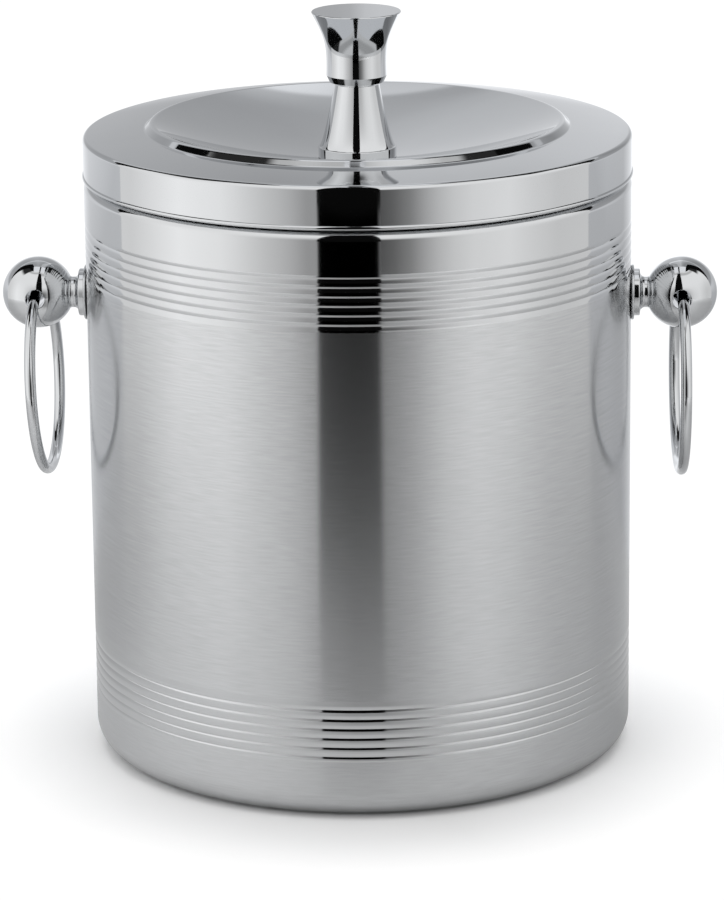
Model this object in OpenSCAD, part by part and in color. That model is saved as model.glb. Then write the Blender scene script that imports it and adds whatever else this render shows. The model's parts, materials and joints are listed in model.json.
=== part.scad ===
// Double-walled steel ice bucket with a lift-off lid and a ring handle on each side.
// The origin is the centre of the ring that it stands on; +Z is up and the handles lie on X.

/* [Bucket] */
// Outer diameter of the body
body_d = 180; // [150:1:220]
// Height of the body, from the table to the top of its shoulder
body_h = 192.7; // [180:0.1:240]
// Thickness of the steel sheet
sheet_t = 0.6; // [0.5:0.1:0.8]
// Radius of the rounded lower edge
foot_r = 9; // [4:0.5:14]
// Radius of the rounded shoulder under the lid
shoulder_r = 3; // [2:0.5:4]
// Air gap between the outer wall and the ice well
air_gap = 8.4; // [8:0.1:14]
// Height of the ice well's floor above the table
well_floor = 14; // [8:1:30]
// Radius between the ice well's wall and its floor
well_corner_r = 10; // [4:1:30]
// Diameter of the recessed panel in the underside
base_recess_d = 132; // [80:1:140]

/* [Grooves] */
// Number of grooves in each band
groove_count = 6; // [3:1:6]
// Width of a groove, from crown to crown
groove_w = 2.9; // [1.8:0.1:3]
// Radius of the rounded shoulders that meet in a groove
groove_shoulder_r = 5.6; // [2:0.1:8]
// Height of the lowest groove of the lower band
lower_groove_z = 21.4; // [18:0.1:40]
// Spacing of the lower band's grooves
lower_pitch = 3.15; // [3:0.05:4]
// Height of the lowest groove of the upper band
upper_groove_z = 162.7; // [150:0.1:165]
// Spacing of the upper band's grooves
upper_pitch = 3.03; // [3:0.01:3.5]

/* [Lid] */
// Open seam between the shoulder and the lid's skirt
lid_seam = 0.5; // [0.3:0.1:1]
// Height of the lid's skirt, up to its top edge
skirt_h = 14.1; // [10:0.1:24]
// Radius of the skirt's top edge
lid_edge_r = 1.6; // [1.2:0.1:3]
// Slope of the lid's outer band at the edge, in degrees
band_edge_slope = 7; // [5:0.5:10]
// Slope of the outer band where it meets the bead, in degrees
band_inner_slope = 2.7; // [1:0.1:4]
// Diameter at the outside of the raised bead
bead_d = 140.4; // [100:0.1:150]
// Radius of the hollow at the bead's outer foot
bead_foot_r = 1.2; // [1:0.1:3]
// Length of the straight stretch up the bead
bead_rise = 1.8; // [1:0.1:4]
// Radius of the bead's crest
bead_crest_r = 1.8; // [1.2:0.1:3]
// Slope of the dish inside the bead, in degrees
dish_slope = 22; // [16:0.5:22]
// Depth that the lid's plug reaches into the ice well
plug_depth = 8; // [7:0.5:20]
// Clearance between the plug and the ice well
plug_clearance = 1; // [0.5:0.1:3]
// Thickness of the silicone gasket
gasket_t = 1; // [0.8:0.1:1.5]

/* [Knob] */
// Diameter of the knob's foot
knob_foot_d = 25.6; // [22:0.1:30]
// Height of the knob's upright foot, above the bottom of the dish
knob_foot_h = 4.2; // [3:0.1:6]
// Diameter of the waist
knob_waist_d = 14.7; // [12:0.1:16]
// Height of the waist joint above the bottom of the dish
knob_waist_h = 24.7; // [20:0.1:30]
// Diameter of the upper part where it starts
knob_neck_d = 19.8; // [16:0.1:22]
// Diameter of the knob's flat top
knob_top_d = 29.2; // [24:0.1:34]
// Height of the upper part
knob_top_h = 23.2; // [18:0.1:30]

/* [Handles] */
// Diameter of the ball
ball_d = 23.7; // [20:0.1:28]
// Distance from the wall to the ball's centre
ball_reach = 16.4; // [15:0.1:20]
// Height of the ball's centre above the table
ball_z = 152.8; // [120:0.1:156]
// Diameter of the neck behind the ball
neck_d = 10.2; // [9:0.1:12]
// Diameter of the cross hole that carries the ring
ring_hole_d = 6.4; // [6.2:0.1:7]
// Diameter of the collar at the wall
rosette_d = 18.4; // [17:0.1:20]
// Diameter of the collar's second step
rosette_step_d = 15.7; // [14:0.1:16.5]
// Thickness of the collar
rosette_t = 4.4; // [4:0.1:5]
// Diameter of the ring's wire
wire_d = 3.7; // [3:0.1:3.8]
// Diameter of the ring, between wire centres
ring_d = 60.8; // [56:0.1:68]
// Angle that the loose ring turns outward at the front, in degrees
ring_toe = 2.2; // [0:0.1:2.5]
// Angle that the left ring rests in towards the wall, in degrees
left_ring_lean = 2.5; // [0:0.1:3]

/* [Fasteners] */
// Thread diameter of the knob and handle screws
screw_d = 5; // [4:1:5]
// Extra diameter of a hole that a screw passes through
hole_slack = 0.5; // [0.3:0.1:1]
// Radial gap that stands in for a thread's fit
thread_gap = 0.05; // [0.02:0.01:0.1]
// Diameter of a screw's head
head_d = 9.5; // [9:0.1:10]
// Thickness of a screw's head
head_h = 3; // [2.5:0.1:3.5]
// Thickness of a flat or lock washer
washer_t = 1.2; // [1:0.1:1.5]
// Width of the plate behind each handle
backing_w = 34; // [24:1:50]
// Height of the plate behind each handle, clear of the grooves
backing_h = 15; // [12:1:16]
// Thickness of the plate behind each handle
backing_t = 1.5; // [1:0.1:1.8]

/* [Hidden] */
$fn = 96;

body_r = body_d / 2;
shell_inner_r = body_r - sheet_t;
well_r = shell_inner_r - air_gap;
contact_gap = 0.02;
bite = 0.01;

// The shell's lip carries the well's rim, and the well's rim carries the gasket and the lid.
lip_r = body_r - 5.8;
well_neck_r = 3;
rim_r = body_r - 4;
rim_top = body_h + sheet_t;
skirt_z = body_h + lid_seam;
pan_rim_z = rim_top + gasket_t;
hem_w = 2.8;
pan_edge_r = body_r - 1.2;
hem_bead_r = 0.75;
hem_bead_out = 0.45;

// The lid's outline, from its edge to its axis.
lid_edge_z = skirt_z + skirt_h;
edge_c = [body_r - lid_edge_r, lid_edge_z - lid_edge_r];
edge_end = edge_c + lid_edge_r * unit(90 - band_edge_slope);
band_r = (edge_end.x - bead_d / 2) / (sin(band_edge_slope) - sin(band_inner_slope));
band_c = edge_end - band_r * unit(90 - band_edge_slope);
foot_c = band_c + (band_r + bead_foot_r) * unit(90 - band_inner_slope);
rise_start = foot_c + bead_foot_r * unit(225);
crest_c = rise_start + bead_rise * unit(135) - bead_crest_r * unit(45);
dish_edge = crest_c + bead_crest_r * unit(90 + dish_slope);
dish_r = dish_edge.x / sin(dish_slope);
dish_z = dish_edge.y - dish_r * (1 - cos(dish_slope));

// Where the two shoulders of a groove meet.
groove_angle = asin(groove_w / 2 / groove_shoulder_r);
groove_depth = groove_shoulder_r * (1 - cos(groove_angle));

plug_r = well_r - sheet_t - plug_clearance;
plug_floor_z = pan_rim_z - plug_depth;
plug_corner_r = 4;
pan_neck_r = 2;

screw_r = screw_d / 2;
pass_r = screw_r + hole_slack / 2;
thread_r = screw_r + thread_gap;

// The knob's flat foot stands on the dish, and its two halves meet at a shadow gap.
knob_foot_r = knob_foot_d / 2;
knob_foot_z = dish_z + dish_r - sqrt(pow(dish_r, 2) - pow(knob_foot_r, 2)) + contact_gap;
knob_joint_gap = 0.8;
knob_joint_z = dish_z + knob_waist_h;
knob_upper_z = knob_joint_z + knob_joint_gap;
knob_end_z = knob_upper_z + knob_top_h;
knob_thread_depth = 11;

// Under the dish: flat washer, lock washer, head.
knob_washer_r = 8;
knob_washer_z = dish_z - sheet_t - contact_gap - washer_t;
knob_lock_z = knob_washer_z - contact_gap - washer_t;
knob_head_z = knob_lock_z - contact_gap;

// The screw chain runs inward from the wall: plate, lock washer, head.
ball_x = body_r + ball_reach;
plate_r = shell_inner_r - contact_gap;
washer_seat_x = sqrt(pow(plate_r - backing_t, 2) - pow(head_d / 2, 2)) - contact_gap;
handle_head_x = washer_seat_x - washer_t - contact_gap;
rosette_x = body_r + contact_gap;
post_x = rosette_x + rosette_t + contact_gap;
post_thread_end = ball_x - ring_hole_d / 2 - 1.5;
tip_gap = 0.5;

// The ring hangs in its hole with the same gap above the wire's middle as below its sides.
ring_side_gap = 0.17;
ring_lift = (ring_hole_d - wire_d) / 2 - ring_side_gap;
ring_drop = ring_d / 2 - ring_lift;

function unit(a) = [cos(a), sin(a)];

// Points along an arc about c, from angle a0 to a1.
function arc(c, r, a0, a1, n = 12) = [for (i = [0:n]) c + r * unit(a0 + (a1 - a0) * i / n)];

// Points along a cubic curve from p to s, pulled towards q and r.
function curve(p, q, r, s, n = 16) = [
    for (i = [0:n]) let (t = i / n, u = 1 - t)
        u * u * u * p + 3 * u * u * t * q + 3 * u * t * t * r + t * t * t * s
];

function reverse(list) = [for (i = [len(list) - 1:-1:0]) list[i]];

// A sheet of even thickness turned about Z: path(0) is one face and path(t) the other.
module turned_sheet(face, back) {
    rotate_extrude() polygon(concat(face, reverse(back)));
}

// A drawn cup with a flat rim: r is its outside, and t is the depth below the outside face.
function cup(r, floor_z, rim_z, corner, neck, rim, t) = concat(
    [[0, floor_z + t]],
    arc([r - corner, floor_z + corner], corner - t, -90, 0),
    arc([r + neck, rim_z - neck], neck + t, 180, 90),
    [[rim, rim_z + t]]
);

function shell_path(t) = concat(
    [[base_recess_d / 2, t]],
    arc([body_r - foot_r, foot_r], foot_r - t, -90, 0, 18),
    arc([body_r - shoulder_r, body_h - shoulder_r], shoulder_r - t, 0, 90),
    [[lip_r, body_h - t]]
);

function groove_heights() = [
    for (k = [0:groove_count - 1]) each [lower_groove_z + k * lower_pitch, upper_groove_z + k * upper_pitch]
];

// The space that one groove leaves: two rounded shoulders that meet in a crease.
module groove(z) {
    shoulder_x = body_r - groove_shoulder_r;
    half = groove_w / 2;
    polygon(concat(
        [[body_r + 1, z - half]],
        arc([shoulder_x, z - half], groove_shoulder_r, 0, groove_angle, 8),
        arc([shoulder_x, z + half], groove_shoulder_r, -groove_angle, 0, 8),
        [[body_r + 1, z + half]]
    ));
}

// The sheet's swelling behind a groove, which keeps its thickness.
module groove_back(z) {
    back_r = groove_depth + sheet_t;
    intersection() {
        translate([body_r, z]) circle(r = back_r, $fn = 32);
        translate([body_r - back_r - 1, z - back_r]) square([1 + back_r - sheet_t / 2, 2 * back_r]);
    }
}

module outer_shell() {
    color("silver") difference() {
        rotate_extrude() difference() {
            union() {
                polygon(concat(shell_path(0), reverse(shell_path(sheet_t))));
                for (z = groove_heights()) groove_back(z);
            }
            for (z = groove_heights()) groove(z);
        }
        translate([-body_d, 0, ball_z]) rotate([0, 90, 0]) cylinder(r = pass_r, h = 2 * body_d);
    }
}

module inner_liner() {
    color("lightgray") turned_sheet(
        cup(well_r, well_floor, body_h, well_corner_r, well_neck_r, rim_r, 0),
        cup(well_r, well_floor, body_h, well_corner_r, well_neck_r, rim_r, sheet_t)
    );
}

// A tray, pressed up in the middle, that sits on the shell's inward foot.
function base_path(t) = let (z = sheet_t + contact_gap + t, rise = 2.4, recess_r = base_recess_d / 2 - 3) [
    [0, z + rise],
    [recess_r - rise, z + rise],
    [recess_r, z],
    [body_r - foot_r - 2, z],
];

module base_plate() {
    color("silver") turned_sheet(base_path(0), base_path(sheet_t));
}

// The lid's top face, or the face t below it, from the skirt's lower edge to the axis.
function lid_path(t) = concat(
    [[body_r - t, skirt_z]],
    arc(edge_c, lid_edge_r - t, 0, 90 - band_edge_slope),
    arc(band_c, band_r - t, 90 - band_edge_slope, 90 - band_inner_slope, 10),
    arc(foot_c, bead_foot_r + t, 270 - band_inner_slope, 225, 6),
    arc(crest_c, bead_crest_r - t, 45, 90 + dish_slope, 8),
    arc([0, dish_z + dish_r], dish_r + t, 270 + dish_slope, 270, 20)
);

module lid_cover() {
    color("gainsboro") difference() {
        union() {
            turned_sheet(lid_path(0), lid_path(sheet_t));
            rotate_extrude() {
                translate([body_r - hem_w, skirt_z]) square([hem_w - bite, pan_rim_z - contact_gap - skirt_z]);
                translate([body_r - hem_bead_r + hem_bead_out, skirt_z + hem_bead_r]) circle(r = hem_bead_r, $fn = 32);
            }
        }
        translate([0, 0, dish_z - lid_edge_z]) cylinder(r = pass_r, h = 2 * lid_edge_z);
    }
}

module lid_pan() {
    color("silver") turned_sheet(
        cup(plug_r, plug_floor_z, pan_rim_z, plug_corner_r, pan_neck_r, pan_edge_r, 0),
        cup(plug_r, plug_floor_z, pan_rim_z, plug_corner_r, pan_neck_r, pan_edge_r, sheet_t)
    );
}

module lid_gasket() {
    inner = well_r + well_neck_r - 1;
    color("dimgray") rotate_extrude()
        translate([inner, rim_top + contact_gap]) square([rim_r - inner, gasket_t - 2 * contact_gap]);
}

// The knob's lower half: an upright foot, a rounded edge and a long flare up to the waist.
module knob_base() {
    waist_r = knob_waist_d / 2;
    edge_r = 0.4;
    foot_top = dish_z + knob_foot_h;
    spigot_r = waist_r - 1.6;
    color("whitesmoke") difference() {
        rotate_extrude() polygon(concat(
            [[0, knob_foot_z], [knob_foot_r, knob_foot_z]],
            arc([knob_foot_r - edge_r, foot_top - edge_r], edge_r, 0, 80, 6),
            curve(
                [knob_foot_r - edge_r, foot_top],
                [knob_foot_r - 1.6, foot_top + 1.6],
                [waist_r + 2.05, knob_joint_z - 11],
                [waist_r, knob_joint_z]
            ),
            [[spigot_r, knob_joint_z], [spigot_r, knob_upper_z - contact_gap], [0, knob_upper_z - contact_gap]]
        ));
        cylinder(r = pass_r, h = 2 * knob_end_z);
    }
}

// The upper half: a bevelled neck that flares out to a flat disc.
module knob_top() {
    neck_r = knob_neck_d / 2;
    top_r = knob_top_d / 2;
    rim = 0.4;
    bevel = [1, 2.2];
    color("whitesmoke") difference() {
        rotate_extrude() polygon(concat(
            [[0, knob_upper_z], [neck_r - bevel.x, knob_upper_z]],
            curve(
                [neck_r, knob_upper_z + bevel.y],
                [neck_r - 0.4, knob_end_z - 11],
                [neck_r + 0.4, knob_end_z - 8.5],
                [top_r - rim / 2, knob_end_z - 2 * rim]
            ),
            arc([top_r - rim, knob_end_z - rim], rim, 0, 90, 6),
            [[0, knob_end_z]]
        ));
        translate([0, 0, knob_upper_z - bite]) cylinder(r = thread_r, h = knob_thread_depth);
    }
}

// A round-headed screw along +Z: the head's underside is at z = 0 and its tip at z = length.
module pan_screw(length) {
    slot_w = 1.2;
    slot_l = 0.6 * head_d;
    slot_depth = head_h / 2;
    crown_r = 6.5;
    difference() {
        union() {
            intersection() {
                translate([0, 0, -head_h]) cylinder(d = head_d, h = head_h);
                translate([0, 0, crown_r - head_h]) sphere(r = crown_r);
            }
            translate([0, 0, -bite]) cylinder(r = screw_r, h = length + bite);
        }
        for (a = [0, 90]) rotate([0, 0, a])
            translate([-slot_l / 2, -slot_w / 2, -head_h - bite]) cube([slot_l, slot_w, slot_depth]);
    }
}

// A flat ring from z = 0 up, with a slit across one side if it is a spring washer.
module washer(outer_r, split = false) {
    slit = 0.8;
    difference() {
        cylinder(r = outer_r, h = washer_t);
        translate([0, 0, -1]) cylinder(r = pass_r, h = washer_t + 2);
        if (split) translate([0, -slit / 2, -1]) cube([2 * outer_r, slit, washer_t + 2]);
    }
}

module knob_washer() {
    color("lightgray") translate([0, 0, knob_washer_z]) washer(knob_washer_r);
}

module knob_lock_washer() {
    color("lightgray") translate([0, 0, knob_lock_z]) washer(head_d / 2, split = true);
}

module knob_screw() {
    color("lightgray") translate([0, 0, knob_head_z])
        pan_screw(knob_upper_z + knob_thread_depth - tip_gap - knob_head_z);
}

// Handle parts are drawn on the +X side and mirrored to the other.
module on_side(side) {
    mirror([side < 0 ? 1 : 0, 0, 0]) children();
}

// Turns +Z to point outward along +X, from x at the height of the handle.
module outward(x) {
    translate([x, 0, ball_z]) rotate([0, 90, 0]) children();
}

// Ball and neck in one turned piece, cross-drilled for the ring and tapped for its screw.
module handle_post(side) {
    mouth = 0.15;
    neck_r = neck_d / 2;
    fillet_r = 1.3;
    fillet_c = sqrt(pow(ball_d / 2 + fillet_r - 0.1, 2) - pow(neck_r + fillet_r, 2));
    mouth_y = sqrt(pow(ball_d / 2, 2) - pow(ring_hole_d / 2, 2));
    color("whitesmoke") on_side(side) difference() {
        union() {
            translate([ball_x, 0, ball_z]) rotate([90, 0, 0]) sphere(d = ball_d);
            outward(post_x) rotate_extrude() polygon(concat(
                [[0, 0], [neck_r, 0]],
                arc([neck_r + fillet_r, ball_x - fillet_c - post_x], fillet_r, 180, 119, 6),
                [[0, ball_x - post_x - 1]]
            ));
        }
        translate([ball_x, ball_d, ball_z]) rotate([90, 0, 0]) cylinder(d = ring_hole_d, h = 2 * ball_d);
        for (a = [90, -90]) translate([ball_x, 0, ball_z]) rotate([a, 0, 0])
            translate([0, 0, mouth_y - mouth])
                cylinder(r1 = ring_hole_d / 2, r2 = ring_hole_d / 2 + 2 * mouth, h = 2 * mouth);
        outward(post_x - bite) cylinder(r = thread_r, h = post_thread_end - post_x);
    }
}

// The stepped collar between the post and the wall.
module rosette(side) {
    rim_t = 0.9;
    step_t = 2.8;
    neck_r = neck_d / 2;
    step_r = rosette_step_d / 2;
    color("whitesmoke") on_side(side) outward(rosette_x) difference() {
        rotate_extrude() polygon(concat(
            [[0, 0]],
            arc([rosette_d / 2 - rim_t / 2, rim_t / 2], rim_t / 2, -90, 90, 8),
            [[step_r, rim_t]],
            arc([step_r - rim_t / 2, step_t - rim_t / 2], rim_t / 2, 0, 90, 5),
            curve(
                [step_r - rim_t, step_t],
                [neck_r + 0.8, step_t + 0.1],
                [neck_r, rosette_t - 0.8],
                [neck_r, rosette_t],
                8
            ),
            [[0, rosette_t]]
        ));
        translate([0, 0, -1]) cylinder(r = pass_r, h = rosette_t + 2);
    }
}

// A closed wire ring that hangs in its ball, turned about the ball's hole by its lean.
module ring(side, lean) {
    color("whitesmoke") on_side(side) translate([ball_x, 0, ball_z]) rotate([0, lean, 0])
        translate([0, 0, -ring_drop]) rotate([0, 0, ring_toe]) rotate([0, 90, 0])
            rotate_extrude() translate([ring_d / 2, 0]) circle(d = wire_d, $fn = 48);
}

module backing_plate(side) {
    color("gray") on_side(side) difference() {
        intersection() {
            translate([0, 0, ball_z - backing_h / 2]) difference() {
                cylinder(r = plate_r, h = backing_h);
                translate([0, 0, -1]) cylinder(r = plate_r - backing_t, h = backing_h + 2);
            }
            translate([0, -backing_w / 2, ball_z - backing_h]) cube([body_r, backing_w, 2 * backing_h]);
        }
        outward(0) cylinder(r = pass_r, h = body_r);
    }
}

module lock_washer(side) {
    color("lightgray") on_side(side) outward(washer_seat_x - washer_t) washer(head_d / 2, split = true);
}

module handle_screw(side) {
    color("lightgray") on_side(side) outward(handle_head_x)
        pan_screw(post_thread_end - tip_gap - handle_head_x);
}

outer_shell();
inner_liner();
base_plate();
lid_cover();
lid_pan();
lid_gasket();
knob_base();
knob_top();
knob_screw();
knob_washer();
knob_lock_washer();
handle_post(-1);  // left_handle_post
rosette(-1);  // left_rosette
ring(-1, left_ring_lean);  // left_ring
handle_screw(-1);  // left_handle_screw
lock_washer(-1);  // left_lock_washer
backing_plate(-1);  // left_backing_plate
handle_post(1);  // right_handle_post
rosette(1);  // right_rosette
ring(1, 0);  // right_ring
handle_screw(1);  // right_handle_screw
lock_washer(1);  // right_lock_washer
backing_plate(1);  // right_backing_plate
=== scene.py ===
"""Looks for the ice bucket: smooth turned pieces over the CAD frame, steel finishes and a soft studio.

Lengths in the outlines are millimetres, as in the CAD source; meshes and lights are in metres.
Each turned piece is an outline in (r, z), drawn anticlockwise round the metal, spun about its axis.
"""

import json
import math

import bpy
from mathutils import Matrix, Vector


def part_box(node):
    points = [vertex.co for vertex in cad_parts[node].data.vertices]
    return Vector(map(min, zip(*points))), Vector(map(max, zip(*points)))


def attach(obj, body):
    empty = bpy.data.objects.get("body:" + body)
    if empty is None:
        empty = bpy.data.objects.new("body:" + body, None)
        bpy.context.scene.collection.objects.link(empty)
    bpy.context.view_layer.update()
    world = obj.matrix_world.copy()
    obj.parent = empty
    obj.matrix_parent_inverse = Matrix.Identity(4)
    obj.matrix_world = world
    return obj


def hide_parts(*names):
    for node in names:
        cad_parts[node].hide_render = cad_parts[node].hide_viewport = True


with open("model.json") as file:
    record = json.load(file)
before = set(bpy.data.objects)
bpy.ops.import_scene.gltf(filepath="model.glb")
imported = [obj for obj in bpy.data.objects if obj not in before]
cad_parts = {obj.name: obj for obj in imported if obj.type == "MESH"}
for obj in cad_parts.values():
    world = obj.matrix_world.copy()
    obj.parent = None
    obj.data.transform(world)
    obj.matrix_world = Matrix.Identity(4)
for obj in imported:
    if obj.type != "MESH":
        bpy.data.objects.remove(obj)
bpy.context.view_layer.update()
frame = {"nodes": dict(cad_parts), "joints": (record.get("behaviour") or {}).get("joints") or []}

MM = 0.001
UP = Vector((0, 0, 1))

# Sizes read from the frame, in millimetres.
SHELL_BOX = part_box("outer_shell")
BODY_R = SHELL_BOX[1].y / MM
BODY_H = SHELL_BOX[1].z / MM
JOINTS = {joint["name"]: joint for joint in frame["joints"]}
BALL_X = JOINTS["right_ring_swing"]["pos_m"][0] / MM
BALL_Z = JOINTS["right_ring_swing"]["pos_m"][2] / MM

# Sizes shared with the CAD source, in millimetres.
SHEET = 0.6
FOOT_R = 9.0
SHOULDER_R = 3.0
BASE_RECESS_R = 66.0
LIP_R = BODY_R - 5.8
RIM_R = BODY_R - 4.0
WELL_R = BODY_R - SHEET - 8.4
WELL_FLOOR = 14.0
WELL_CORNER_R = 10.0
WELL_NECK_R = 3.0
CONTACT_GAP = 0.02
LOWER_GROOVES = [21.4 + 3.15 * k for k in range(6)]
UPPER_GROOVES = [162.7 + 3.03 * k for k in range(6)]
GROOVE_HALF = 1.45
GROOVE_SHOULDER_R = 5.6
# Heights over which the brushed wall starts and ends, and over which the brushed foot ends.
BRUSH_STARTS = (39.7, 40.1)
BRUSH_ENDS = (160.6, 161.0)
FOOT_ENDS = (19.6, 19.9)
RIM_TOP = BODY_H + SHEET
GASKET_T = 1.0
SKIRT_Z = BODY_H + 0.5
PAN_RIM_Z = RIM_TOP + GASKET_T
LID_EDGE_Z = SKIRT_Z + 14.1
LID_EDGE_R = 1.6


# ---------------------------------------------------------------------------------------------
# Outlines: a part is a list of (point, normal) pairs, and an outline joins parts with straights.
# ---------------------------------------------------------------------------------------------


def unit(degrees):
    return Vector((math.cos(math.radians(degrees)), math.sin(math.radians(degrees))))


def point(r, z):
    """A plain corner."""
    return [(Vector((r, z)), None)]


def arc(centre, radius, start, end, steps=12):
    """Points from start to end, in degrees. Anticlockwise is a round edge and clockwise is a hollow."""
    side = 1 if end > start else -1
    part = []
    for i in range(steps + 1):
        direction = unit(start + (end - start) * i / steps)
        part.append((Vector(centre) + radius * direction, side * direction))
    return part


def curve(p, q, r, s, steps=24):
    """A cubic curve from p to s, pulled towards q and r."""
    p, q, r, s = Vector(p), Vector(q), Vector(r), Vector(s)
    part = []
    for i in range(steps + 1):
        t = i / steps
        u = 1 - t
        place = u**3 * p + 3 * u * u * t * q + 3 * u * t * t * r + t**3 * s
        slope = u * u * (q - p) + 2 * u * t * (r - q) + t * t * (s - r)
        part.append((place, Vector((slope.y, -slope.x)).normalized()))
    return part


def reverse(part):
    return [(place, None if normal is None else -normal) for place, normal in reversed(part)]


def outline(parts):
    """Joins parts into a closed loop of edges: (start, end, normal at start, normal at end)."""
    edges = []
    for part, following in zip(parts, parts[1:] + parts[:1]):
        for (a, na), (b, nb) in zip(part, part[1:]):
            edges.append((a, b, na, nb))
        start, end = part[-1][0], following[0][0]
        across = end - start
        if across.length > 1e-4:
            normal = Vector((across.y, -across.x)).normalized()
            edges.append((start, end, normal, normal))
    return edges


def turned(edges, centre=(0, 0, 0), axis=UP, segments=256):
    """Spins an outline into (points, faces, normals of each face's corners), in metres."""
    axis = Vector(axis).normalized()
    side = axis.orthogonal().normalized()
    across = axis.cross(side)
    centre = Vector(centre) * MM
    spokes = []
    for j in range(segments):
        a = 2 * math.pi * j / segments
        spokes.append(math.cos(a) * side + math.sin(a) * across)

    points, index = [], {}

    def ring_at(place):
        key = (round(place.x, 4), round(place.y, 4))
        if key not in index:
            middle = centre + axis * place.y * MM
            first = len(points)
            if place.x < 1e-6:
                points.append(middle)
                index[key] = [first] * segments
            else:
                points.extend(middle + spoke * place.x * MM for spoke in spokes)
                index[key] = list(range(first, first + segments))
        return index[key]

    faces, normals = [], []
    for start, end, normal_a, normal_b in edges:
        low, high = ring_at(start), ring_at(end)
        if start.x < 1e-6 and end.x < 1e-6:
            continue
        for j in range(segments):
            k = (j + 1) % segments
            corners = [
                (low[j], normal_a, spokes[j]),
                (low[k], normal_a, spokes[k]),
                (high[k], normal_b, spokes[k]),
                (high[j], normal_b, spokes[j]),
            ]
            if start.x < 1e-6:
                corners.pop(1)
            if end.x < 1e-6:
                corners.pop(2)
            faces.append([corner[0] for corner in corners])
            normals.extend(n.x * spoke + n.y * axis for _, n, spoke in corners)
    return points, faces, normals


def make_piece(name, body, slot, material, *solids):
    """One mesh object from turned solids, with true normals, that rides on a body."""
    points, faces, normals = [], [], []
    for solid_points, solid_faces, solid_normals in solids:
        first = len(points)
        points += solid_points
        faces += [[first + i for i in face] for face in solid_faces]
        normals += solid_normals
    mesh = bpy.data.meshes.new(name)
    mesh.from_pydata(points, [], faces)
    mesh.polygons.foreach_set("use_smooth", [True] * len(faces))
    mesh.normals_split_custom_set(normals)
    mesh.materials.append(material)
    piece = bpy.data.objects.new(name, mesh)
    bpy.context.scene.collection.objects.link(piece)
    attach(piece, body)
    return piece


# ---------------------------------------------------------------------------------------------
# Shader helpers
# ---------------------------------------------------------------------------------------------


class Shader:
    """Adds nodes to a material's or the world's tree, and links or sets their inputs."""

    def __init__(self, owner):
        owner.use_nodes = True
        self.tree = owner.node_tree
        self.tree.nodes.clear()

    def add(self, kind, inputs=None, **settings):
        node = self.tree.nodes.new("ShaderNode" + kind)
        for key, value in settings.items():
            setattr(node, key, value)
        for key, value in (inputs or {}).items():
            self.plug(node.inputs[key], value)
        return node

    def plug(self, socket, value):
        if isinstance(value, bpy.types.NodeSocket):
            self.tree.links.new(value, socket)
        else:
            socket.default_value = value

    def math(self, operation, *values):
        node = self.add("Math", dict(enumerate(values)), operation=operation)
        return node.outputs[0]

    def blend(self, share, low, high):
        """low where share is 0 and high where it is 1."""
        node = self.add("Mix", {0: share, 2: low, 3: high}, data_type="FLOAT")
        return node.outputs[0]

    def ramp(self, value, low, high):
        """0 below low and 1 above high, with a smooth change between."""
        node = self.add("MapRange", {0: value, 1: low, 2: high}, interpolation_type="SMOOTHSTEP")
        return node.outputs[0]

    def steps(self, value, low, high, stops):
        """A brightness read from (value, brightness) stops, given in order between low and high."""
        share = self.add("MapRange", {0: value, 1: low, 2: high}).outputs[0]
        top = max(brightness for _, brightness in stops)
        node = self.add("ValToRGB", {0: share})
        ramp = node.color_ramp
        while len(ramp.elements) < len(stops):
            ramp.elements.new(0.5)
        for element, (at, brightness) in zip(ramp.elements, stops):
            element.position = (at - low) / (high - low)
            element.color = [brightness / top] * 3 + [1]
        return self.math("MULTIPLY", node.outputs[0], top)

    def grey(self, value, warmth=0.0):
        """A grey from a brightness, a little warmer or cooler."""
        warm = self.math("MULTIPLY", value, 1 + warmth)
        cool = self.math("MULTIPLY", value, 1 - warmth)
        return self.add("CombineColor", {0: warm, 1: value, 2: cool}).outputs[0]

    def noise(self, vector, scale=1.0, detail=2.0):
        node = self.add("TexNoise", {"Vector": vector, "Scale": scale, "Detail": detail})
        return node.outputs[0]

    def finish(self, shader, kind="OutputMaterial"):
        self.tree.links.new(shader.outputs[0], self.add(kind).inputs[0])


def steel_colour(shader, place, base, variation):
    """A steel's brightness, with faint cloudy changes."""
    cloud = shader.noise(place, 60.0, 3.0)
    change = shader.math("MULTIPLY", shader.math("SUBTRACT", cloud, 0.5), variation)
    return shader.math("ADD", change, base)


def bumped(shader, height, distance):
    return shader.add("Bump", {"Height": height, "Distance": distance, "Strength": 1.0}).outputs[0]


def polished_steel():
    """Mirror-polished steel with fine wipe marks."""
    material = bpy.data.materials.new("polished_steel")
    shader = Shader(material)
    place = shader.add("TexCoord").outputs["Object"]
    wipe = shader.noise(place, 900.0, 4.0)
    surface = shader.add("BsdfPrincipled", {
        "Base Color": shader.grey(steel_colour(shader, place, 0.64, 0.03), -0.015),
        "Metallic": 1.0,
        "Roughness": shader.blend(wipe, 0.03, 0.06),
    })
    shader.finish(surface)
    return material


def turned_streaks(shader, place, fineness, coarseness=130.0):
    """Noise stretched round the Z axis: coarse round the piece and fine across it, in marks a metre."""
    x, y, z = shader.add("SeparateXYZ", {0: place}).outputs
    squares = shader.math("MULTIPLY", x, x), shader.math("MULTIPLY", y, y)
    radius = shader.math("SQRT", shader.math("ADD", *squares))
    streak = shader.add("CombineXYZ", {
        0: shader.math("MULTIPLY", x, coarseness),
        1: shader.math("MULTIPLY", radius, fineness),
        2: shader.math("MULTIPLY", z, fineness),
    }).outputs[0]
    return shader.noise(streak, 1.0, 4.0)


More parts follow.
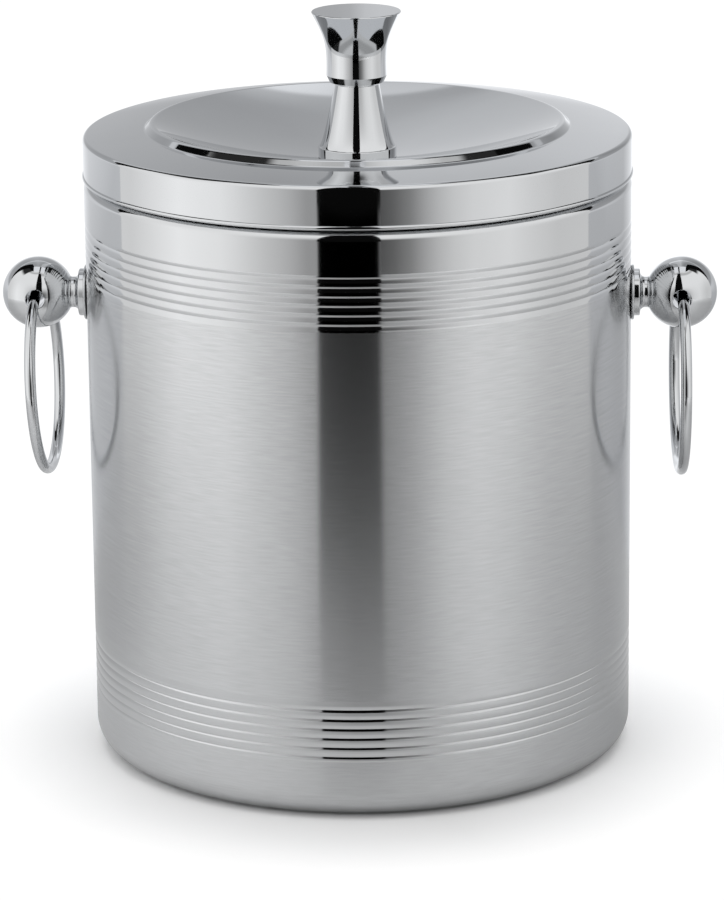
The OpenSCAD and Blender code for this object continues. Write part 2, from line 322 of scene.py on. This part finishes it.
def brushed_wall():
    """The shell's steel: brushed between the grooved bands and at the foot, and polished elsewhere."""
    material = bpy.data.materials.new("brushed_steel")
    shader = Shader(material)
    place = shader.add("TexCoord").outputs["Object"]
    z = shader.math("DIVIDE", shader.add("SeparateXYZ", {0: place}).outputs[2], MM)
    wall = shader.math("SUBTRACT", shader.ramp(z, *BRUSH_STARTS), shader.ramp(z, *BRUSH_ENDS))
    foot = shader.math("SUBTRACT", 1.0, shader.ramp(z, *FOOT_ENDS))
    brush = shader.math("MAXIMUM", wall, foot)
    streaks = turned_streaks(shader, place, 2200.0)
    brush_roughness = shader.blend(streaks, 0.18, 0.20)
    colour = steel_colour(shader, place, 0.63, 0.02)
    streak_colour = shader.math("MULTIPLY", colour, shader.blend(streaks, 0.84, 1.14))
    surface = shader.add("BsdfPrincipled", {
        "Base Color": shader.grey(shader.blend(brush, colour, streak_colour), -0.012),
        "Metallic": 1.0,
        "Roughness": shader.blend(brush, 0.05, brush_roughness),
        "Anisotropic": brush,
        "Anisotropic Rotation": 0.25,
        "Tangent": shader.add("Tangent", direction_type="RADIAL", axis="Z").outputs[0],
        "Normal": bumped(shader, shader.math("MULTIPLY", streaks, brush), 0.000004),
    })
    shader.finish(surface)
    return material


def satin_steel():
    """Spun steel with concentric marks."""
    material = bpy.data.materials.new("satin_steel")
    shader = Shader(material)
    place = shader.add("TexCoord").outputs["Object"]
    streaks = turned_streaks(shader, place, 1600.0)
    colour = steel_colour(shader, place, 0.62, 0.03)
    streak_colour = shader.math("MULTIPLY", colour, shader.blend(streaks, 0.94, 1.05))
    surface = shader.add("BsdfPrincipled", {
        "Base Color": shader.grey(streak_colour),
        "Metallic": 1.0,
        "Roughness": shader.blend(streaks, 0.3, 0.4),
        "Anisotropic": 0.6,
        "Anisotropic Rotation": 0.25,
        "Tangent": shader.add("Tangent", direction_type="RADIAL", axis="Z").outputs[0],
        "Normal": bumped(shader, streaks, 0.000006),
    })
    shader.finish(surface)
    return material


def fastener_steel():
    """Plain bright steel of bought screws and washers."""
    material = bpy.data.materials.new("fastener_steel")
    shader = Shader(material)
    place = shader.add("TexCoord").outputs["Object"]
    grain = shader.noise(place, 1500.0, 4.0)
    surface = shader.add("BsdfPrincipled", {
        "Base Color": shader.grey(steel_colour(shader, place, 0.55, 0.08)),
        "Metallic": 1.0,
        "Roughness": shader.blend(grain, 0.24, 0.42),
        "Normal": bumped(shader, grain, 0.00001),
    })
    shader.finish(surface)
    return material


def silicone():
    """Matte off-white silicone, a little mottled."""
    material = bpy.data.materials.new("silicone")
    shader = Shader(material)
    place = shader.add("TexCoord").outputs["Object"]
    mottle = shader.noise(place, 240.0, 3.0)
    surface = shader.add("BsdfPrincipled", {
        "Base Color": shader.grey(shader.blend(mottle, 0.68, 0.78), 0.015),
        "Roughness": shader.blend(mottle, 0.5, 0.65),
        "Normal": bumped(shader, mottle, 0.00003),
    })
    shader.finish(surface)
    return material


# ---------------------------------------------------------------------------------------------
# Bucket
# ---------------------------------------------------------------------------------------------


def groove(z):
    """Two rounded shoulders that meet in a crease."""
    turn = math.degrees(math.asin(GROOVE_HALF / GROOVE_SHOULDER_R))
    middle = BODY_R - GROOVE_SHOULDER_R
    return [
        arc((middle, z - GROOVE_HALF), GROOVE_SHOULDER_R, 0, turn, 8),
        arc((middle, z + GROOVE_HALF), GROOVE_SHOULDER_R, -turn, 0, 8),
    ]


def shell_face(t):
    """The shell's face from its foot to its lip, at depth t below the outside."""
    foot = arc((BODY_R - FOOT_R, FOOT_R), FOOT_R - t, -90, 0, 24)
    shoulder = arc((BODY_R - SHOULDER_R, BODY_H - SHOULDER_R), SHOULDER_R - t, 0, 90)
    return [point(BASE_RECESS_R, t), foot, shoulder, point(LIP_R, BODY_H - t)]


def shell_outline():
    foot_edge, foot, shoulder, lip = shell_face(0)
    grooves = []
    for z in LOWER_GROOVES + UPPER_GROOVES:
        grooves += groove(z)
    inside = [reverse(part) for part in reversed(shell_face(SHEET))]
    return outline([foot_edge, foot] + grooves + [shoulder, lip] + inside)


def cup(r, floor_z, rim_z, corner, neck, rim, t):
    """A drawn cup with a flat rim: r is its outside, and t is the depth below the outside face."""
    return [
        point(0, floor_z + t),
        arc((r - corner, floor_z + corner), corner - t, -90, 0, 16),
        arc((r + neck, rim_z - neck), neck + t, 180, 90),
        point(rim, rim_z + t),
    ]


def cup_outline(r, floor_z, rim_z, corner, neck, rim):
    """A cup's two faces, joined round its rim by a rounded edge."""
    edge = SHEET / 2
    under = cup(r, floor_z, rim_z, corner, neck, rim, 0)[:-1]
    over = cup(r, floor_z, rim_z, corner, neck, rim, SHEET)[:-1]
    rounded = arc((rim - edge, rim_z + edge), edge, -90, 90, 8)
    return outline(under + [rounded] + [reverse(part) for part in reversed(over)])


def base_outline():
    """A tray, pressed up in the middle, that sits on the shell's inward foot."""
    rise = 2.4
    recess_r = BASE_RECESS_R - 3

    def face(t):
        z = SHEET + CONTACT_GAP + t
        return [
            point(0, z + rise),
            point(recess_r - rise, z + rise),
            point(recess_r, z),
            point(BODY_R - FOOT_R - 2, z),
        ]

    return outline(face(0) + [reverse(part) for part in reversed(face(SHEET))])


def build_bucket(wall, satin):
    shell = make_piece("shell", "bucket", "brushed_steel", wall, turned(shell_outline()))
    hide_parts("outer_shell")
    well = cup_outline(WELL_R, WELL_FLOOR, BODY_H, WELL_CORNER_R, WELL_NECK_R, RIM_R)
    liner = make_piece("liner", "bucket", "satin_steel", satin, turned(well))
    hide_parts("inner_liner")
    base = make_piece("base", "bucket", "satin_steel", satin, turned(base_outline()))
    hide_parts("base_plate")


# ---------------------------------------------------------------------------------------------
# Lid and knob
# ---------------------------------------------------------------------------------------------

BAND_EDGE_SLOPE = 7.0
BAND_INNER_SLOPE = 2.7
BEAD_R = 70.2
BEAD_FOOT_R = 1.2
BEAD_RISE = 1.8
BEAD_CREST_R = 1.8
DISH_SLOPE = 22.0
DISH_HOLE_SLOPE = 0.9
PLUG_DEPTH = 8.0
PLUG_R = WELL_R - SHEET - 1.0
PLUG_CORNER_R = 4.0
PAN_NECK_R = 2.0
PAN_EDGE_R = BODY_R - 1.2
HEM_W = 2.8
HEM_BEAD_R = 0.75
HEM_BEAD_OUT = 0.45

EDGE_C = Vector((BODY_R - LID_EDGE_R, LID_EDGE_Z - LID_EDGE_R))
EDGE_END = EDGE_C + LID_EDGE_R * unit(90 - BAND_EDGE_SLOPE)
BAND_RUN = math.sin(math.radians(BAND_EDGE_SLOPE)) - math.sin(math.radians(BAND_INNER_SLOPE))
BAND_R = (EDGE_END.x - BEAD_R) / BAND_RUN
BAND_C = EDGE_END - BAND_R * unit(90 - BAND_EDGE_SLOPE)
BEAD_FOOT_C = BAND_C + (BAND_R + BEAD_FOOT_R) * unit(90 - BAND_INNER_SLOPE)
RISE_START = BEAD_FOOT_C + BEAD_FOOT_R * unit(225)
CREST_C = RISE_START + BEAD_RISE * unit(135) - BEAD_CREST_R * unit(45)
DISH_EDGE = CREST_C + BEAD_CREST_R * unit(90 + DISH_SLOPE)
DISH_R = DISH_EDGE.x / math.sin(math.radians(DISH_SLOPE))
DISH_Z = DISH_EDGE.y - DISH_R * (1 - math.cos(math.radians(DISH_SLOPE)))

KNOB_FOOT_R = 12.8
KNOB_FOOT_H = 4.2
KNOB_WAIST_R = 7.35
KNOB_WAIST_H = 24.7
KNOB_NECK_R = 9.9
KNOB_TOP_R = 14.6
KNOB_TOP_H = 23.2
KNOB_GAP_H = 0.8
KNOB_FOOT_Z = DISH_Z + DISH_R - math.sqrt(DISH_R**2 - KNOB_FOOT_R**2) + CONTACT_GAP
KNOB_JOINT_Z = DISH_Z + KNOB_WAIST_H
KNOB_UPPER_Z = KNOB_JOINT_Z + KNOB_GAP_H
KNOB_END_Z = KNOB_UPPER_Z + KNOB_TOP_H
SCREW_HOLE_R = 2.75
THREAD_R = 2.55


def lid_face(t):
    """The lid's face from its skirt to the screw hole, at depth t below the top."""
    return [
        arc(EDGE_C, LID_EDGE_R - t, 0, 90 - BAND_EDGE_SLOPE),
        arc(BAND_C, BAND_R - t, 90 - BAND_EDGE_SLOPE, 90 - BAND_INNER_SLOPE, 12),
        arc(BEAD_FOOT_C, BEAD_FOOT_R + t, 270 - BAND_INNER_SLOPE, 225, 8),
        arc(CREST_C, BEAD_CREST_R - t, 45, 90 + DISH_SLOPE, 14),
        arc((0, DISH_Z + DISH_R), DISH_R + t, 270 + DISH_SLOPE, 270 + DISH_HOLE_SLOPE, 32),
    ]


def lid_outline():
    """Under face, then the folded hem and its bead, then the top."""
    hem_top = PAN_RIM_Z - CONTACT_GAP
    bead_x = BODY_R - HEM_BEAD_R + HEM_BEAD_OUT
    bead_turn = math.degrees(math.acos((BODY_R - bead_x) / HEM_BEAD_R))
    under = [reverse(part) for part in reversed(lid_face(SHEET))]
    hem = [
        point(BODY_R - SHEET, hem_top),
        point(BODY_R - HEM_W, hem_top),
        point(BODY_R - HEM_W, SKIRT_Z),
        arc((bead_x, SKIRT_Z + HEM_BEAD_R), HEM_BEAD_R, -90, bead_turn, 16),
    ]
    return outline(under + hem + lid_face(0))


def knob_base_outline():
    """An upright foot, a rounded edge and a long flare up to the waist, bored for the screw."""
    edge_r = 0.4
    sole_r = 0.2
    foot_top = DISH_Z + KNOB_FOOT_H
    spigot_r = KNOB_WAIST_R - 1.6
    flare = curve(
        (KNOB_FOOT_R - edge_r, foot_top),
        (KNOB_FOOT_R - 1.6, foot_top + 1.6),
        (KNOB_WAIST_R + 2.05, KNOB_JOINT_Z - 11),
        (KNOB_WAIST_R, KNOB_JOINT_Z),
    )
    return outline([
        point(SCREW_HOLE_R, KNOB_FOOT_Z),
        arc((KNOB_FOOT_R - sole_r, KNOB_FOOT_Z + sole_r), sole_r, -90, 0, 4),
        arc((KNOB_FOOT_R - edge_r, foot_top - edge_r), edge_r, 0, 80, 8),
        flare,
        point(spigot_r, KNOB_JOINT_Z),
        point(spigot_r, KNOB_UPPER_Z - CONTACT_GAP),
        point(SCREW_HOLE_R, KNOB_UPPER_Z - CONTACT_GAP),
    ])


def knob_top_outline():
    """A bevelled neck that flares out to a flat disc, with a blind threaded hole."""
    rim = 0.4
    bevel_w = 1.0
    bevel_h = 2.2
    hole_depth = 11
    hole_end = KNOB_UPPER_Z + hole_depth
    flare = curve(
        (KNOB_NECK_R, KNOB_UPPER_Z + bevel_h),
        (KNOB_NECK_R - 0.4, KNOB_END_Z - 11),
        (KNOB_NECK_R + 0.4, KNOB_END_Z - 8.5),
        (KNOB_TOP_R - rim / 2, KNOB_END_Z - 2 * rim),
    )
    return outline([
        point(THREAD_R, KNOB_UPPER_Z),
        point(KNOB_NECK_R - bevel_w, KNOB_UPPER_Z),
        flare,
        arc((KNOB_TOP_R - rim, KNOB_END_Z - rim), rim, 0, 90, 6),
        point(0, KNOB_END_Z),
        point(0, hole_end),
        point(THREAD_R, hole_end),
    ])


def gasket_outline():
    """A flat ring with softened edges."""
    inner = WELL_R + WELL_NECK_R - 1
    low = RIM_TOP + CONTACT_GAP
    high = PAN_RIM_Z - CONTACT_GAP
    soft = 0.3
    return outline([
        arc((RIM_R - soft, low + soft), soft, -90, 0, 5),
        arc((RIM_R - soft, high - soft), soft, 0, 90, 5),
        arc((inner + soft, high - soft), soft, 90, 180, 5),
        arc((inner + soft, low + soft), soft, 180, 270, 5),
    ])


def build_lid(polished, satin, rubber):
    cover = make_piece("lid_top", "lid", "polished_steel", polished, turned(lid_outline()))
    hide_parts("lid_cover")
    plug_floor = PAN_RIM_Z - PLUG_DEPTH
    pan = cup_outline(PLUG_R, plug_floor, PAN_RIM_Z, PLUG_CORNER_R, PAN_NECK_R, PAN_EDGE_R)
    under = make_piece("lid_under", "lid", "satin_steel", satin, turned(pan))
    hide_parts("lid_pan")
    seal = make_piece("seal", "lid", "silicone", rubber, turned(gasket_outline()))
    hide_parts("lid_gasket")
    lower = make_piece("knob_lower", "lid", "polished_steel", polished, turned(knob_base_outline()))
    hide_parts("knob_base")
    upper = make_piece("knob_upper", "lid", "polished_steel", polished, turned(knob_top_outline()))
    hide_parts("knob_top")


# ---------------------------------------------------------------------------------------------
# Handles
# ---------------------------------------------------------------------------------------------

BALL_R = 11.85
NECK_R = 5.1
HOLE_R = 3.2
HOLE_MOUTH = 0.15
ROSETTE_R = 9.2
ROSETTE_STEP_R = 7.85
ROSETTE_T = 4.4
WIRE_R = 1.85
RING_R = 30.4
RING_TOE = 2.2
LEFT_RING_LEAN = 2.5
NECK_FILLET_R = 1.3
RING_PLAY = 0.17
RING_LIFT = HOLE_R - WIRE_R - RING_PLAY


def ball_outline():
    """A ball bored through along its axis, with a small bevel at each mouth."""
    mouth_r = HOLE_R + HOLE_MOUTH
    mouth = math.sqrt(BALL_R**2 - mouth_r**2)
    turn = math.degrees(math.asin(mouth / BALL_R))
    return outline([
        arc((0, 0), BALL_R, -turn, turn, 48),
        point(HOLE_R, mouth - HOLE_MOUTH),
        point(HOLE_R, HOLE_MOUTH - mouth),
    ])


def neck_outline():
    """The stem between the collar and the ball, tapped for the screw."""
    start = BODY_R + ROSETTE_T + 2 * CONTACT_GAP
    sink = 0.1
    reach = BALL_R + NECK_FILLET_R - sink
    middle_r = NECK_R + NECK_FILLET_R
    middle = BALL_X - math.sqrt(reach**2 - middle_r**2)
    return outline([
        point(THREAD_R, start),
        point(NECK_R, start),
        arc((middle_r, middle), NECK_FILLET_R, 180, 119, 10),
        point(THREAD_R, middle + NECK_FILLET_R),
    ])


def rosette_outline():
    """A rim, a raised step and a cove up to the neck, bored for the screw."""
    low = BODY_R + CONTACT_GAP
    half = 0.45
    step_t = 2.8
    return outline([
        point(SCREW_HOLE_R, low),
        arc((ROSETTE_R - half, low + half), half, -90, 90, 10),
        point(ROSETTE_STEP_R, low + 2 * half),
        arc((ROSETTE_STEP_R - half, low + step_t - half), half, 0, 90, 6),
        curve(
            (ROSETTE_STEP_R - 2 * half, low + step_t),
            (NECK_R + 0.8, low + step_t + 0.1),
            (NECK_R, low + ROSETTE_T - 0.8),
            (NECK_R, low + ROSETTE_T),
            10,
        ),
        point(SCREW_HOLE_R, low + ROSETTE_T),
    ])


def build_handle(side, name, ring_lean, polished):
    outward = Vector((side, 0, 0))
    height = (0, 0, BALL_Z)
    ball = turned(ball_outline(), (side * BALL_X, 0, BALL_Z), (0, 1, 0), 96)
    neck = turned(neck_outline(), height, outward, 96)
    post = make_piece(name + "_post", "bucket", "polished_steel", polished, ball, neck)
    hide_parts(name + "_handle_post")
    collar = turned(rosette_outline(), height, outward, 128)
    rosette = make_piece(name + "_collar", "bucket", "polished_steel", polished, collar)
    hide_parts(name + "_rosette")
    lean = Matrix.Rotation(math.radians(side * ring_lean), 3, "Y")
    centre = Vector((side * BALL_X, 0, BALL_Z)) + lean @ Vector((0, 0, RING_LIFT - RING_R))
    toe = math.radians(RING_TOE)
    axis = lean @ Vector((side * math.cos(toe), math.sin(toe), 0))
    wire = turned(outline([arc((RING_R, 0), WIRE_R, 0, 360, 40)]), centre, axis, 192)
    loop = make_piece(name + "_loop", name + "_ring_body", "polished_steel", polished, wire)
    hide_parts(name + "_ring")


def finish_cad_nodes(fastener):
    """The CAD's own screws, washers and plates stay, with a steel finish."""
    for node in frame["nodes"].values():
        if not node.hide_render:
            node.data.materials.clear()
            node.data.materials.append(fastener)


# ---------------------------------------------------------------------------------------------
# Studio
# ---------------------------------------------------------------------------------------------

COOL_WHITE = (0.985, 1.0, 1.03, 1.0)
WALL_H = 0.5
ROOF_H = 1.15


def stage_mesh(name, points, faces, material, seen=False):
    """A floor or card. Cards light the object and show in its reflections only."""
    mesh = bpy.data.meshes.new(name)
    mesh.from_pydata(points, [], faces)
    mesh.materials.append(material)
    card = bpy.data.objects.new(name, mesh)
    card.visible_camera = seen
    card.visible_shadow = seen
    bpy.context.scene.collection.objects.link(card)


def stage_sheet(name, left, right, near, far, z, material, seen=False):
    """A level rectangle."""
    points = [(left, near, z), (right, near, z), (right, far, z), (left, far, z)]
    stage_mesh(name, points, [(0, 1, 2, 3)], material, seen)


def position(shader):
    """The x, y and z of the place being shaded, in metres."""
    return shader.add("SeparateXYZ", {0: shader.add("NewGeometry").outputs["Position"]}).outputs


def azimuth(shader, x, y):
    """Degrees round from the front, positive towards +X."""
    angle = shader.math("ARCTAN2", x, shader.math("MULTIPLY", y, -1.0))
    return shader.math("DEGREES", angle)


def card_glow(name, stops, dark_from):
    """Light whose strength changes round the object, as the folds of a soft tent do.
    It evens out with height, dims near the roof and goes dark high up, behind y = dark_from."""
    material = bpy.data.materials.new(name)
    shader = Shader(material)
    x, y, z = position(shader)
    strength = shader.steps(azimuth(shader, x, y), -180.0, 180.0, stops)
    lifted = shader.blend(shader.ramp(z, 0.15, 0.6), strength, 1.1)
    near_roof = shader.steps(z, 0.0, 1.2, [
        (0, 1.0), (0.92, 1.0), (0.97, 0.60), (1.04, 0.60), (1.09, 0.88), (1.2, 0.88),
    ])
    dimmed = shader.math("MULTIPLY", lifted, near_roof)
    behind = shader.ramp(y, dark_from, dark_from + 0.05)
    high_behind = shader.math("MULTIPLY", shader.ramp(z, 0.66, 0.80), behind)
    shader.finish(shader.add("Emission", {"Strength": shader.blend(high_behind, dimmed, 0.03)}))
    return material


def softbox(name, azimuths, foot, roof, glow):
    """A tent wall round the object that stands upright and then leans in overhead.
    azimuths, foot and roof each have a value for its two ends; foot and roof are distances."""
    steps = 24
    points, faces = [], []
    for i in range(steps + 1):
        share = i / steps
        a = math.radians(azimuths[0] + (azimuths[1] - azimuths[0]) * share)
        low = foot[0] + (foot[1] - foot[0]) * share
        high = roof[0] + (roof[1] - roof[0]) * share
        for distance, z in ((low, 0.0), (low, WALL_H), (high, ROOF_H)):
            points.append((distance * math.sin(a), -distance * math.cos(a), z))
    for i in range(steps):
        for row in (0, 1):
            low = 3 * i + row
            faces.append((low, low + 3, low + 4, low + 1))
    stage_mesh(name, points, faces, glow)


def build_floor():
    """A pale sheet, which only the steel reflects, with painted light and shade:
    lighter towards the side softboxes and further out, and a painted dark gap in front.
    The camera sees the sheet brighter, with painted shade in front of the object, and plain white
    further out."""
    material = bpy.data.materials.new("floor")
    shader = Shader(material)
    place = shader.add("TexCoord").outputs["Object"]
    to_camera = shader.add("LightPath").outputs["Is Camera Ray"]
    x, y, _ = shader.add("SeparateXYZ", {0: place}).outputs
    around = azimuth(shader, x, y)
    away = shader.add("VectorMath", {0: place}, operation="LENGTH").outputs["Value"]
    # Painted light: the tone the steel sees, near the object and further out, lighter towards the side
    # softboxes and darker in front.
    near = shader.steps(around, -180.0, 180.0, [
        (-180, 0.70), (-110, 0.62), (-60, 0.76), (-25, 0.76),
        (0, 0.68), (36, 0.64), (95, 0.50), (180, 0.70),
    ])
    far = shader.steps(around, -180.0, 180.0, [
        (-180, 0.70), (-128, 0.44), (-110, 0.46), (-94, 0.50), (-77, 0.62), (-48, 0.72), (-27, 0.65),
        (-18, 0.58), (-13, 0.48), (0, 0.36), (10, 0.36), (20, 0.48), (36, 0.68), (48, 0.72),
        (61, 0.62), (77, 0.52), (94, 0.48), (110, 0.44), (130, 0.48), (180, 0.70),
    ])
    # Painted shade: a dark gap on the floor in front, between the softboxes and beyond about 0.37 m,
    # where the studio is unlit.
    gap = shader.steps(around, -180.0, 180.0, [
        (-180, 0.0), (-13.6, 0.0), (-12.8, 1.0), (10.4, 1.0), (11.4, 0.0), (180, 0.0),
    ])
    dark = shader.math("MULTIPLY", gap, shader.ramp(away, 0.34, 0.40))
    # Painted light: further out the floor is painted brighter still.
    further = shader.math("MULTIPLY", far, shader.blend(shader.ramp(away, 0.38, 0.72), 1.0, 1.35))
    # The painted light and the painted dark gap, as the steel sees the floor.
    painted_floor_light_and_shade = shader.blend(dark, shader.blend(shader.ramp(away, 0.12, 0.21), near, further), 0.0)
    # Painted shade: the floor the camera sees is painted darker in front of the object than at its
    # sides.
    camera_tone_painted_shade = shader.steps(around, -180.0, 180.0, [
        (-180, 1.05), (-100, 1.05), (-60, 0.98), (-40, 0.90), (0, 0.83),
        (20, 0.82), (60, 1.0), (100, 1.05), (180, 1.05),
    ])
    grain = shader.blend(shader.noise(place, 40.0, 3.0), 0.99, 1.01)
    # The painted light for the steel, or the painted shade for the camera, with a faint grain.
    tone = shader.math("MULTIPLY", grain, shader.blend(to_camera, painted_floor_light_and_shade, camera_tone_painted_shade))
    surface = shader.add("BsdfDiffuse", {"Color": shader.grey(tone)})
    share = shader.math("MULTIPLY", to_camera, shader.ramp(away, 0.095, 0.15))
    white = shader.add("Emission", {"Strength": 1.05})
    shader.finish(shader.add("MixShader", {0: share, 1: surface.outputs[0], 2: white.outputs[0]}))
    stage_sheet("floor", -1.2, 1.2, -1.0, 0.9, 0.0, material, seen=True)


def build_world():
    """White to the camera and almost black to the steel."""
    world = bpy.data.worlds.new("studio")
    bpy.context.scene.world = world
    shader = Shader(world)
    to_camera = shader.add("LightPath").outputs["Is Camera Ray"]
    white = (1.0, 1.0, 1.0, 1.0)
    strength = shader.blend(to_camera, 0.004, 1.05)
    shader.finish(shader.add("Background", {"Color": white, "Strength": strength}), "OutputWorld")


def build_floor_light():
    """A wide lamp straight above, which lights the floor and stays out of the reflections."""
    data = bpy.data.lights.new("overhead", "AREA")
    data.shape = "RECTANGLE"
    data.size = 1.2
    data.size_y = 1.2
    data.energy = 12.0
    lamp = bpy.data.objects.new("overhead", data)
    lamp.location = (0.0, 0.0, 1.2)
    lamp.visible_glossy = False
    lamp.visible_camera = False
    bpy.context.scene.collection.objects.link(lamp)


def build_backdrop():
    """A grey sheet behind that rises and narrows to the ceiling, with black gaps beside it."""
    material = bpy.data.materials.new("backdrop")
    shader = Shader(material)
    x, _, z = position(shader)
    across = shader.steps(x, -0.7, 0.7, [
        (-0.7, 0.62), (-0.216, 0.54), (-0.134, 0.66), (-0.11, 0.62), (-0.05, 0.54),
        (-0.012, 0.57), (-0.004, 0.80), (0.06, 0.80), (0.1, 0.88),
        (0.134, 0.62), (0.216, 0.42), (0.365, 0.50), (0.7, 0.55),
    ])
    upward = shader.steps(z, 0.0, 1.2, [
        (0, 1.1), (0.1, 1.2), (0.15, 1.5), (0.19, 1.5), (0.21, 1.15), (0.222, 0.92), (0.26, 0.88),
        (0.34, 0.82), (0.382, 0.88), (0.39, 1.4), (0.42, 1.4), (0.45, 0.9), (1.2, 0.75),
    ])
    strength = shader.math("MULTIPLY", across, upward)
    shader.finish(shader.add("Emission", {"Color": COOL_WHITE, "Strength": strength}))
    rows = [
        (0.20, 0.0, -0.66, 0.66),
        (0.20, 0.30, -0.62, 0.62),
        (0.22, 0.42, -0.36, 0.36),
        (0.35, 0.90, -0.30, 0.30),
        (0.20, 1.20, -0.28, 0.30),
    ]
    points = []
    for back, height, left, right in rows:
        points += [(left, back, height), (right, back, height)]
    faces = [(2 * i, 2 * i + 1, 2 * i + 3, 2 * i + 2) for i in range(len(rows) - 1)]
    stage_mesh("backdrop", points, faces, material)


def build_roof_cards():
    """Two bright cards overhead with a narrow dark gap between them, and a grey one in front."""
    material = bpy.data.materials.new("roof_card")
    shader = Shader(material)
    _, _, z = position(shader)
    strength = shader.blend(shader.ramp(z, 1.05, 1.10), 0.65, 1.05)
    shader.finish(shader.add("Emission", {"Color": COOL_WHITE, "Strength": strength}))
    stage_sheet("left_roof", -0.30, -0.035, -0.28, 0.24, 1.18, material)
    stage_sheet("right_roof", 0.025, 0.30, -0.28, 0.24, 1.18, material)
    stage_sheet("front_bridge", -0.06, 0.05, -0.230, -0.205, 1.0, material)


def build_studio():
    build_floor()
    build_world()
    build_floor_light()
    build_backdrop()
    build_roof_cards()
    left_glow = card_glow("left_glow", [
        (-180, 0.9), (-100, 0.92), (-86, 1.08), (-72, 1.25), (-52, 1.14), (-46, 1.04),
        (-40, 0.92), (-34, 0.80), (-28, 0.70), (-23, 0.60), (-17, 0.44), (0, 0.39), (180, 0.9),
    ], dark_from=-0.13)
    right_glow = card_glow("right_glow", [
        (-180, 0.2), (0, 0.10), (10, 0.11), (16, 0.17), (23, 0.31), (29, 0.53), (34, 0.69),
        (40, 0.84), (48, 0.96), (64, 1.04), (75, 0.93), (88, 0.82), (180, 0.9),
    ], dark_from=-0.01)
    roof = (0.12, 0.5)
    softbox("left_softbox", azimuths=(-13, -108.5), foot=(0.58, 0.66), roof=roof, glow=left_glow)
    softbox("right_softbox", azimuths=(11.1, 108.5), foot=(0.85, 0.66), roof=roof, glow=right_glow)


def build_camera():
    """Just right of the front, looking down by 15.3 degrees, as a long lens sees it."""
    turn = math.radians(2.5)
    lift = math.radians(15.3)
    distance = 1.459
    target = Vector((0, 0, 0.0985))
    shift = 0.0005
    back = Vector((math.sin(turn) * math.cos(lift), -math.cos(turn) * math.cos(lift), math.sin(lift)))
    right = Vector((math.cos(turn), math.sin(turn), 0))
    data = bpy.data.cameras.new("camera")
    data.sensor_width = 36.0
    data.lens = 174.6
    data.clip_end = 20.0
    camera = bpy.data.objects.new("camera", data)
    camera.location = target + shift * right + distance * back
    aim = (-back).to_track_quat("-Z", "Y")
    roll = Matrix.Rotation(math.radians(-0.57), 3, "Z")
    camera.rotation_euler = (aim.to_matrix() @ roll).to_euler()
    bpy.context.scene.collection.objects.link(camera)
    bpy.context.scene.camera = camera


def set_view():
    """Plain sRGB tones, with no filmic curve."""
    bpy.context.scene.view_settings.view_transform = "Standard"


polished = polished_steel()
satin = satin_steel()
build_bucket(brushed_wall(), satin)
build_lid(polished, satin, silicone())
build_handle(-1, "left", LEFT_RING_LEAN, polished)
build_handle(1, "right", 0.0, polished)
finish_cad_nodes(fastener_steel())
build_studio()
build_camera()
set_view()
